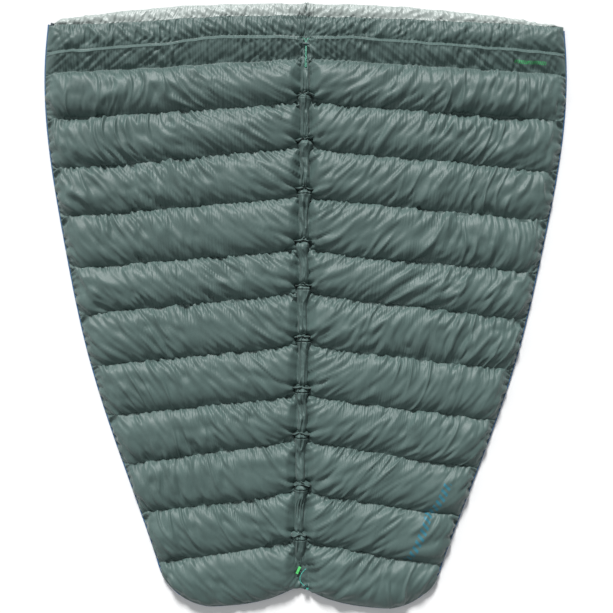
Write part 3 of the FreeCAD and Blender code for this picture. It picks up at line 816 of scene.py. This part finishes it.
def outer_fabric(half, looks):
    """One half's outer fabric, settled, creased and cut into lip, collar, neck channel and shell."""
    sign = HALVES[half]
    coarse, plan, band, fraction, strength = simulate_half(half)
    starts = [int(np.flatnonzero(band == b)[0]) for b in range(len(BAND_ROWS))] + [len(band) - 1]
    points, plan, strength = (refined(grid, starts) for grid in (coarse, plan, strength))
    following = np.append(fraction[1:], 1)
    following[following == 0] = 1
    fraction = np.stack([fraction, (fraction + following) / 2], 1).ravel()[:-1]
    band = np.repeat(band, 2)[:-1]
    points = centre_valley(points, sign)
    points = crease(points, plan, band, fraction, 101 if half == "right" else 163)
    points, plan = points * np.array([sign, 1, 1]), plan * np.array([sign, 1])
    points = under_cords(points)
    parts = {"lining_lip_fabric": (LIP, LIP), "collar_shell_fabric": (COLLAR, COLLAR),
             "neck_channel_fabric": (CHANNEL, CHANNEL), "shell_head_fabric": (NECK, NECK + 5),
             "shell_foot_fabric": (NECK + 6, NECK + CHAMBERS)}
    for name, (low, high) in parts.items():
        rows = np.flatnonzero((band >= low) & (band <= high))
        if high < band.max():
            rows = np.append(rows, rows[-1] + 1)
        cut = points[rows]
        lip, shell = low == LIP, low >= NECK
        if lip:
            # the lip's fabric turns under at its free edge and runs back along the ground
            under = rows[:0:-1]
            cut = np.concatenate([points[under] * np.array([1, 1, 0]) + np.array([0, 0, 0.0009]), cut])
            rows = np.concatenate([under, rows])
        material = looks["lip" if lip else "shell_" + half]
        piece = mesh_object(f"{name}_{half}", cut, grid_faces(*cut.shape[:2], sign < 0), material)
        add_uv(piece, plan[rows])
        add_pucker(piece, strength[rows])
        cross_fold(piece, half)
        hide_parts(f"shell_{half}" if shell else f"{name[:-7]}_{half}")
    return {"points": points, "plan": plan, "band": band, "fraction": fraction}


def gather_profile(grid):
    """Y and Z of the fabric along the centre line, head to foot, with each row's chamber fraction."""
    chamber = grid["band"] > NECK
    return grid["points"][:, 0, 1], grid["points"][:, 0, 2], np.where(chamber, grid["fraction"], 0.5)


def centre_gather(grid, looks):
    """The strip gathered along the centre line: crumpled folds, with a tuft at the foot of each chamber."""
    line_y, line_z, fraction = gather_profile(grid)
    y = np.arange(line_y.min() + 0.004, line_y.max() - 0.004, 0.0022)
    z = np.interp(y, line_y[::-1], line_z[::-1])
    f = np.interp(y, line_y[::-1], fraction[::-1])
    tuft = np.where(f > 0.5, np.clip((f - 0.84) / 0.14, 0, 1), np.clip(1 - f / 0.26, 0, 1))
    flare = np.where(f > 0.5, np.clip((f - 0.87) / 0.13, 0, 1), np.exp(-f / 0.13))
    pinch = np.exp(-((f - 0.875) / 0.030) ** 2)
    inner = np.clip((0.80 - y) / 0.03, 0, 1) * np.clip((y + 0.83) / 0.03, 0, 1)
    across = np.linspace(-1, 1, 45)[None, :]
    y, z, tuft, flare, pinch, inner = (v[:, None] for v in (y, z, tuft, flare, pinch, inner))
    half_width = 0.0120 + (0.0035 + 0.0085 * flare - 0.0080 * pinch) * inner
    sway = 0.009 * (lattice_noise(y / 0.06, y * 0, 5) - 0.5)
    x = across * half_width + sway
    folds = ridges(across * 2.1 + 1.1 * lattice_noise(y / 0.05, x * 0, 6), y / 0.055, 7, 1.0)
    crumple = facets(x / 0.012, y / 0.016, 8)
    top = (0.001 + 0.0120 * folds + 0.006 * crumple) * (0.22 + 0.78 * inner)
    top = top + (0.011 * tuft - 0.005 * pinch) * inner
    on_shell = 0.85 * np.maximum(np.abs(x) - 0.016, 0) * inner
    z = z + on_shell + top * (1 - np.abs(across) ** 4) - 0.004 * across ** 8
    points = under_cords(np.stack([x, y + 0 * x, np.clip(z, 0.004, CEILING)], -1))
    piece = mesh_object("centre_gather_fabric", points, grid_faces(*x.shape, True), looks["shell_left"])
    add_uv(piece, points[..., :2])
    add_pucker(piece, np.ones(x.shape))
    cross_fold(piece, "left")
    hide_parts("centre_gather")


def lining(grid, half, looks):
    """The flat inner fabric on the ground, drawn up a little along each quilting line."""
    rows = np.flatnonzero(grid["band"] > LIP)[::4]
    rows = np.append(rows, len(grid["band"]) - 1) if rows[-1] != len(grid["band"]) - 1 else rows
    plan = grid["plan"][rows][:, ::3]
    f = grid["fraction"][rows][:, None]
    x, y = np.abs(plan[..., 0]), plan[..., 1]
    seam = np.exp(-(np.minimum(f, 1 - f) * 0.16 / 0.007) ** 2)
    puckers = ridges(x / 0.014, y / 0.08, 31, 1.4)
    sag = lattice_noise(x / 0.06, y / 0.05, 32)
    centre = np.exp(-(x / 0.02) ** 2)
    z = 0.0007 + 0.0022 * seam * (0.5 + 0.5 * puckers) + 0.0005 * sag + 0.0012 * centre * puckers
    z = z * np.clip((x[:, -1:] - x) / 0.01, 0.4, 1)
    points = np.stack([plan[..., 0], plan[..., 1], z], -1)
    piece = mesh_object(f"lining_fabric_{half}", points, grid_faces(*x.shape, half == "right"), looks["lip"])
    add_uv(piece, plan)
    add_pucker(piece, np.clip(seam + centre, 0, 1))
    cross_fold(piece, half)
    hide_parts(f"lining_{half}")


def centre_tape(grid, looks):
    """The ribbed tape that covers the centre seam under the quilt."""
    line_y = grid["points"][:, 0, 1]
    y = np.arange(line_y.min() + 0.004, line_y.max() - 0.045, 0.004)[:, None]
    across = np.linspace(-0.0105, 0.0105, 9)[None, :]
    wave = 0.0004 * lattice_noise(y / 0.012, across * 0, 41)
    points = np.stack([across + 0 * y, y + 0 * across, 0.0001 + wave + 0 * across], -1)
    piece = mesh_object("centre_seam_tape", points, grid_faces(*points.shape[:2], False), looks["elastic"])
    add_uv(piece, points[..., :2])
    cross_fold(piece, "left")
    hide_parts("centre_lining")


def lens(points, low, noise_seed):
    """Loops of a closed pad: under a patch of fabric on top, flat underneath. Stations run along X."""
    rows, stations = points.shape[:2]
    lumps = lattice_noise(points[..., 0] / 0.03, points[..., 1] / 0.03, noise_seed)
    top = points - np.array([0, 0, 1.0]) * (0.014 + 0.006 * lumps)[..., None]
    top[..., 2] = np.maximum(top[..., 2], low + 0.002)
    bottom = points * np.array([1, 1, 0]) + np.array([0, 0, low])
    return np.concatenate([top, bottom[::-1]], 0).transpose(1, 0, 2), stations, 2 * rows


def down_fills(grid, half, looks):
    """The down of each chamber, a lumpy pad under the shell, and the lighter down of the neck and collar."""
    sign = HALVES[half]
    columns = np.flatnonzero(np.abs(grid["plan"][0, :, 0]) > 0.022)[4:-12:9]
    groups = {"collar_fill": [COLLAR, NECK]}
    groups.update({f"down_fill_{i:02d}": [NECK + i] for i in range(1, CHAMBERS + 1)})
    for node, bands in groups.items():
        points, faces = [], []
        for band in bands:
            inside = (grid["band"] == band) & (grid["fraction"] > 0.09) & (grid["fraction"] < 0.91)
            patch = grid["points"][np.flatnonzero(inside)[::4 if band > NECK else 2]][:, columns]
            loops, stations, around = lens(patch, 0.0035, 60 + band)
            base = sum(len(p) for p in points)
            tube = tube_faces(stations, around, sign > 0, sign > 0)
            faces += [[base + i for i in face] for face in tube]
            points.append(loops.reshape(-1, 3))
        piece = mesh_object(f"{node}_clusters_{half}", np.concatenate(points), faces, looks["down"])
        cross_fold(piece, half)
        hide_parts(f"{node}_{half}")


def baffle_mesh(grid, half, looks):
    """The mesh walls that hold shell and lining apart under each seam."""
    seams = first_rows(grid, range(NECK + 1, NECK + CHAMBERS + 1))
    points, faces = [], []
    heights = np.array([0.08, 0.3, 0.5, 0.7, 0.93])[:, None, None]
    for number, row in enumerate(seams):
        top = grid["points"][row][12:-8:3]
        slack = 0.0015 * (lattice_noise(top[:, 0] / 0.012, top[:, 1], 80 + number) - 0.5)
        wall = np.repeat(top[None], 5, 0) * np.array([1, 1, 0]) + heights * top[None] * np.array([0, 0, 1])
        wall[1:4, :, 1] += slack
        faces += [[sum(len(p) for p in points) + i for i in face] for face in grid_faces(*wall.shape[:2])]
        points.append(wall.reshape(-1, 3))
    piece = mesh_object(f"baffle_mesh_{half}", np.concatenate(points), faces, looks["mesh"])
    cross_fold(piece, half)
    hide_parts(f"baffle_walls_{half}")


# ------------------------------------------------ edges: binding, hem, tunnel cords, stitches

def resample(path, step):
    """The path with points a step apart, and the distance along it of each."""
    path = np.asarray(path, float)
    run = np.concatenate([[0], np.cumsum(np.linalg.norm(np.diff(path, axis=0), axis=1))])
    at = np.linspace(0, run[-1], max(int(run[-1] / step), 2) + 1)
    return np.stack([np.interp(at, run, path[:, i]) for i in range(path.shape[1])], 1), at


def edge_roll(name, half, path, centre, radii, square, ripple, material, seed):
    """A rolled strip along an outline path: an oval section, centre inwards and up from the path."""
    line, run = resample(path, 0.0028)
    ease = np.ones(9) / 9
    padded = np.concatenate([np.repeat(line[:1], 4, 0), line, np.repeat(line[-1:], 4, 0)])
    line = np.stack([np.convolve(padded[:, i], ease, "valid") for i in (0, 1)], 1)
    along = np.gradient(line, axis=0)
    along /= np.linalg.norm(along, axis=1)[:, None]
    inwards = np.stack([along[:, 1], -along[:, 0]], 1)
    angle = np.linspace(0, 2 * math.pi, 16, endpoint=False)[None, :]
    cosine, sine = np.cos(angle), np.sin(angle)
    oval = (np.sign(cosine) * np.abs(cosine) ** square, np.sign(sine) * np.abs(sine) ** square)
    size = 1 + ripple * (ridges(run[:, None] / 0.0075, angle * 0.8, seed, 1.2) - 0.5)
    size = size + ripple * 0.6 * (lattice_noise(run[:, None] / 0.05, angle, seed + 1) - 0.5)
    inward = centre[0] + radii[0] * oval[0] * size
    up = np.maximum(centre[1] + radii[1] * oval[1] * size, 0.0002)
    points = np.concatenate([line[:, None] + inwards[:, None] * inward[..., None], up[..., None]], -1)
    sign = HALVES[half]
    points = points * np.array([sign, 1, 1])
    piece = mesh_object(name, points, tube_faces(*points.shape[:2], sign > 0, sign < 0), material)
    add_uv(piece, np.stack(np.broadcast_arrays(angle * radii[1], run[:, None]), -1))
    add_pucker(piece, np.full(points.shape[:2], 0.5))
    return piece


def quilt_edges(half, looks):
    """Navy binding down the side and round the corner, and the shell's rolled hem along the foot."""
    head_y = LINES[1][1] - 0.004
    side_y = np.arange(head_y, SIDE[0, 1], -0.02)
    side_y = side_y[side_y > -0.83]
    side = np.stack([side_x(side_y), side_y], 1)
    corner = FOOT[FOOT[:, 0] > 0.385][::-1]
    binding = edge_roll(f"side_binding_tape_{half}", half, np.concatenate([side, corner]), (0.0036, 0.0048),
                        (0.0038, 0.0046), 0.75, 0.07, looks["binding"], 201)
    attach(binding, f"{half}_half")
    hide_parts(f"side_binding_{half}")
    foot = FOOT[FOOT[:, 0] < 0.452][::-1]
    hem = edge_roll(f"foot_hem_roll_{half}", half, foot, (0.0050, 0.0050), (0.0048, 0.0047), 0.9, 0.2,
                    looks["shell_" + half], 205)
    cross_fold(hem, half)
    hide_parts(f"foot_hem_{half}")
    piping = edge_roll(f"foot_piping_{half}", half, FOOT[FOOT[:, 0] < 0.40][::-1], (0.0012, 0.0030),
                       (0.0022, 0.0026), 1.0, 0.2, looks["binding"], 209)
    cross_fold(piping, half)


def tunnel_cords(grid, half, looks):
    """The drawcords inside the neck channel and the foot hem."""
    row = np.flatnonzero((grid["band"] == CHANNEL) & (grid["fraction"] > 0.45))[0]
    neck = np.abs(grid["plan"][row][8:-20:3])
    foot = FOOT[FOOT[:, 0] < 0.44][::-1]
    runs = (("neck_channel_cord", neck, 0.0, 0.012), ("foot_hem_cord", foot, 0.0050, 0.0050))
    for node, path, inset, z in runs:
        cord = edge_roll(f"{node}_braid_{half}", half, path, (inset, z), (0.0011, 0.0011), 1.0, 0.05,
                         looks["braid"], 215)
        cross_fold(cord, half)
        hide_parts(f"{node}_{half}")


def stitches(grid, half, looks):
    """Thread along every quilting line: a short raised stitch every few millimetres."""
    starts = first_rows(grid, range(COLLAR, NECK + CHAMBERS + 1))
    centres, directions = [], []
    for row in starts:
        line, _ = resample(grid["points"][row][6:-2], 0.0042)
        centres.append((line[:-1] + line[1:]) / 2)
        directions.append(np.diff(line, axis=0))
    centre, along = np.concatenate(centres), np.concatenate(directions)
    along /= np.linalg.norm(along, axis=1)[:, None]
    side = np.cross(along, [0, 0, 1.0])
    side /= np.linalg.norm(side, axis=1)[:, None]
    up = np.cross(side, along)
    centre = centre + up * 0.0004
    corner = [along * -0.0014, side * 0.0004, up * 0.0005, side * -0.0004, up * -0.0004, along * 0.0014]
    points = np.stack([centre + c for c in corner], 1)
    solid = np.array([[0, 2, 1], [0, 3, 2], [0, 4, 3], [0, 1, 4], [5, 1, 2], [5, 2, 3], [5, 3, 4], [5, 4, 1]])
    faces = (solid[None] + 6 * np.arange(len(centre))[:, None, None]).reshape(-1, 3).tolist()
    piece = mesh_object(f"quilting_stitches_{half}", points, faces, looks["thread"])
    cross_fold(piece, half)


# ------------------------------------------------ drawcords, knots and tabs

def curve_object(name, points, radius, material, cyclic=False):
    curve = bpy.data.curves.new(name, "CURVE")
    curve.dimensions = "3D"
    curve.bevel_depth = radius
    curve.bevel_resolution = 3
    curve.resolution_u = 10
    curve.use_fill_caps = True
    spline = curve.splines.new("NURBS")
    spline.points.add(len(points) - 1)
    for point, place in zip(spline.points, points):
        point.co = (*place, 1)
    spline.order_u = 3
    spline.use_cyclic_u = cyclic
    spline.use_endpoint_u = not cyclic
    curve.materials.append(material)
    obj = bpy.data.objects.new(name, curve)
    bpy.context.scene.collection.objects.link(obj)
    return obj


def knot(name, centre, node, material):
    """A small overhand knot: a trefoil of cord."""
    size = 0.00115
    points = []
    for i in range(24):
        t = 2 * math.pi * i / 24
        points.append((centre[0] + size * (math.sin(t) + 2 * math.sin(2 * t)),
                       centre[1] + size * (math.cos(t) - 2 * math.cos(2 * t)),
                       centre[2] - 1.6 * size * math.sin(3 * t)))
    piece = curve_object(name, points, CORD_DIAMETER / 2, material, cyclic=True)
    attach(piece, "right_half")
    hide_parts(node)
    return piece


def drawcords(looks):
    neck_left = curve_object("neck_drawcord_left", NECK_LEG, CORD_DIAMETER / 2, looks["braid"])
    neck_right = curve_object("neck_drawcord_right", RIGHT_NECK_LEG, CORD_DIAMETER / 2, looks["braid"])
    foot = curve_object("foot_drawcord", FOOT_CORD, CORD_DIAMETER / 2, looks["teal_braid"])
    neck_knot = knot("neck_drawcord_knot", NECK_KNOT, "neck_cord_knot", looks["braid"])
    foot_knot = knot("foot_drawcord_knot", FOOT_KNOT, "foot_cord_knot", looks["teal_braid"])
    for cord, node in ((neck_left, "neck_cord_left"), (neck_right, "neck_cord_right"), (foot, "foot_cord")):
        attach(cord, "right_half")
        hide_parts(node)


def folded_tab(name, node, body, turn, material, shift=0.0):
    """A tape folded in half over itself, with its two ends sewn down at the base."""
    low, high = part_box(node)
    centre = [(a + b) / 2 for a, b in zip(low, high)]
    thick = high[2] - low[2]
    corner = np.array(corners(node))[:, :2] - np.array(centre[:2])
    axis, side = np.array([-math.sin(turn), math.cos(turn)]), np.array([math.cos(turn), math.sin(turn)])
    length, width = np.abs(corner @ axis).max() * 2, np.abs(corner @ side).max() * 2
    half, skin = thick / 2, 0.0006
    lower = [(s, -half + skin) for s in np.linspace(-0.5, 0.42, 12) * length]
    fold = [(0.42 * length + 0.08 * length * math.sin(a), -(half - skin) * math.cos(a))
            for a in np.linspace(0.3, math.pi - 0.3, 7)]
    upper = [(s, (half - skin) * (1 if s > -0.3 * length else 0.4))
             for s in np.linspace(0.42, -0.5, 12) * length]
    path = np.array(lower + fold + upper)
    normal = np.gradient(path, axis=0)
    normal = np.stack([-normal[:, 1], normal[:, 0]], 1) / np.linalg.norm(normal, axis=1)[:, None]
    across = np.linspace(-0.5, 0.5, 9) * width
    sheets = []
    for offset in (skin * 0.5, -skin * 0.5):
        line = path + normal * offset
        flat = line[:, 0, None, None] * axis + across[None, :, None] * side
        flat = flat + np.array(centre[:2]) + (0, shift)
        height = centre[2] + line[:, 1:2] + 0.0002 * np.cos(np.arange(9) * 2.4)[None, :]
        sheets.append(np.concatenate([flat, height[..., None]], -1))
    loop = np.concatenate([sheets[0], sheets[1][:, ::-1]], 1)
    piece = mesh_object(name, loop, tube_faces(*loop.shape[:2], False, True), material)
    run = np.arange(len(loop))[:, None] * 0.0015
    add_uv(piece, np.stack(np.broadcast_arrays(np.r_[across, across[::-1]][None, :], run), -1))
    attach(piece, body)
    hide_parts(node)


def finish_nodes(looks):
    """Better materials on the CAD pieces that stay."""
    kinds = {"lock_body": "plastic", "lock_button": "button", "lock_spring": "steel",
             "centre_elastic": "tape_object"}
    for name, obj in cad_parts.items():
        for ending, look in kinds.items():
            if name.endswith(ending):
                obj.data.materials.clear()
                obj.data.materials.append(looks[look])


# ------------------------------------------------ build

make_camera()
make_lights()
make_floor()

SHELL_COLOR = (0.074, 0.121, 0.112)
LINING_COLOR = (0.34, 0.39, 0.37)
NAVY = (0.030, 0.110, 0.240)
looks = {
    "lip": nylon("lining_nylon", LINING_COLOR, 0.38, 0.15),
    "down": down(),
    "mesh": mesh_cloth(),
    "binding": tape("navy_binding", NAVY, 420.0),
    "braid": braid("green_braid", (0.20, 0.62, 0.44), (0.03, 0.16, 0.12)),
    "teal_braid": braid("teal_braid", (0.10, 0.66, 0.52), (0.02, 0.18, 0.17)),
    "plastic": plastic("lock_plastic", (0.02, 0.045, 0.045), 0.38),
    "steel": steel(),
    "button": plastic("button_plastic", (0.035, 0.10, 0.09), 0.42),
    "elastic": tape("seam_tape", (0.20, 0.25, 0.24), 500.0),
    "thread": tape("thread", (0.10, 0.15, 0.14), 900.0, 0.5, "Object"),
    "tape_object": tape("elastic_tape", (0.05, 0.06, 0.06), 300.0, 0.7, "Object"),
    "tab": tape("green_tab", (0.10, 0.62, 0.16), 520.0, 0.4),
    "dark_tab": tape("dark_tab", (0.03, 0.05, 0.06), 520.0, 0.5),
}
for half in HALVES:
    looks["shell_" + half] = nylon("shell_nylon_" + half, SHELL_COLOR, 0.52, 0.12, 0.45)
printed_bars(looks["shell_right"], (0.681, 0.803), (0.782, 0.797), 0.011, 0.0062, 0.55, (0.05, 0.42, 0.13))
printed_bars(looks["shell_right"], (0.345, -0.822), (0.468, -0.570), 0.022, 0.0165, 0.5, (0.03, 0.17, 0.23))
looks = {name: look.material for name, look in looks.items()}

drawcords(looks)
for half in HALVES:
    grid = outer_fabric(half, looks)
    lining(grid, half, looks)
    down_fills(grid, half, looks)
    baffle_mesh(grid, half, looks)
    quilt_edges(half, looks)
    tunnel_cords(grid, half, looks)
    stitches(grid, half, looks)
centre_gather(grid, looks)
centre_tape(grid, looks)
folded_tab("foot_pull_loop", "foot_pull_tab", "right_half", math.radians(-24), looks["tab"])
folded_tab("corner_loop_left", "corner_tab_left", "left_half", math.radians(-12), looks["dark_tab"],
           -0.012)
finish_nodes(looks)
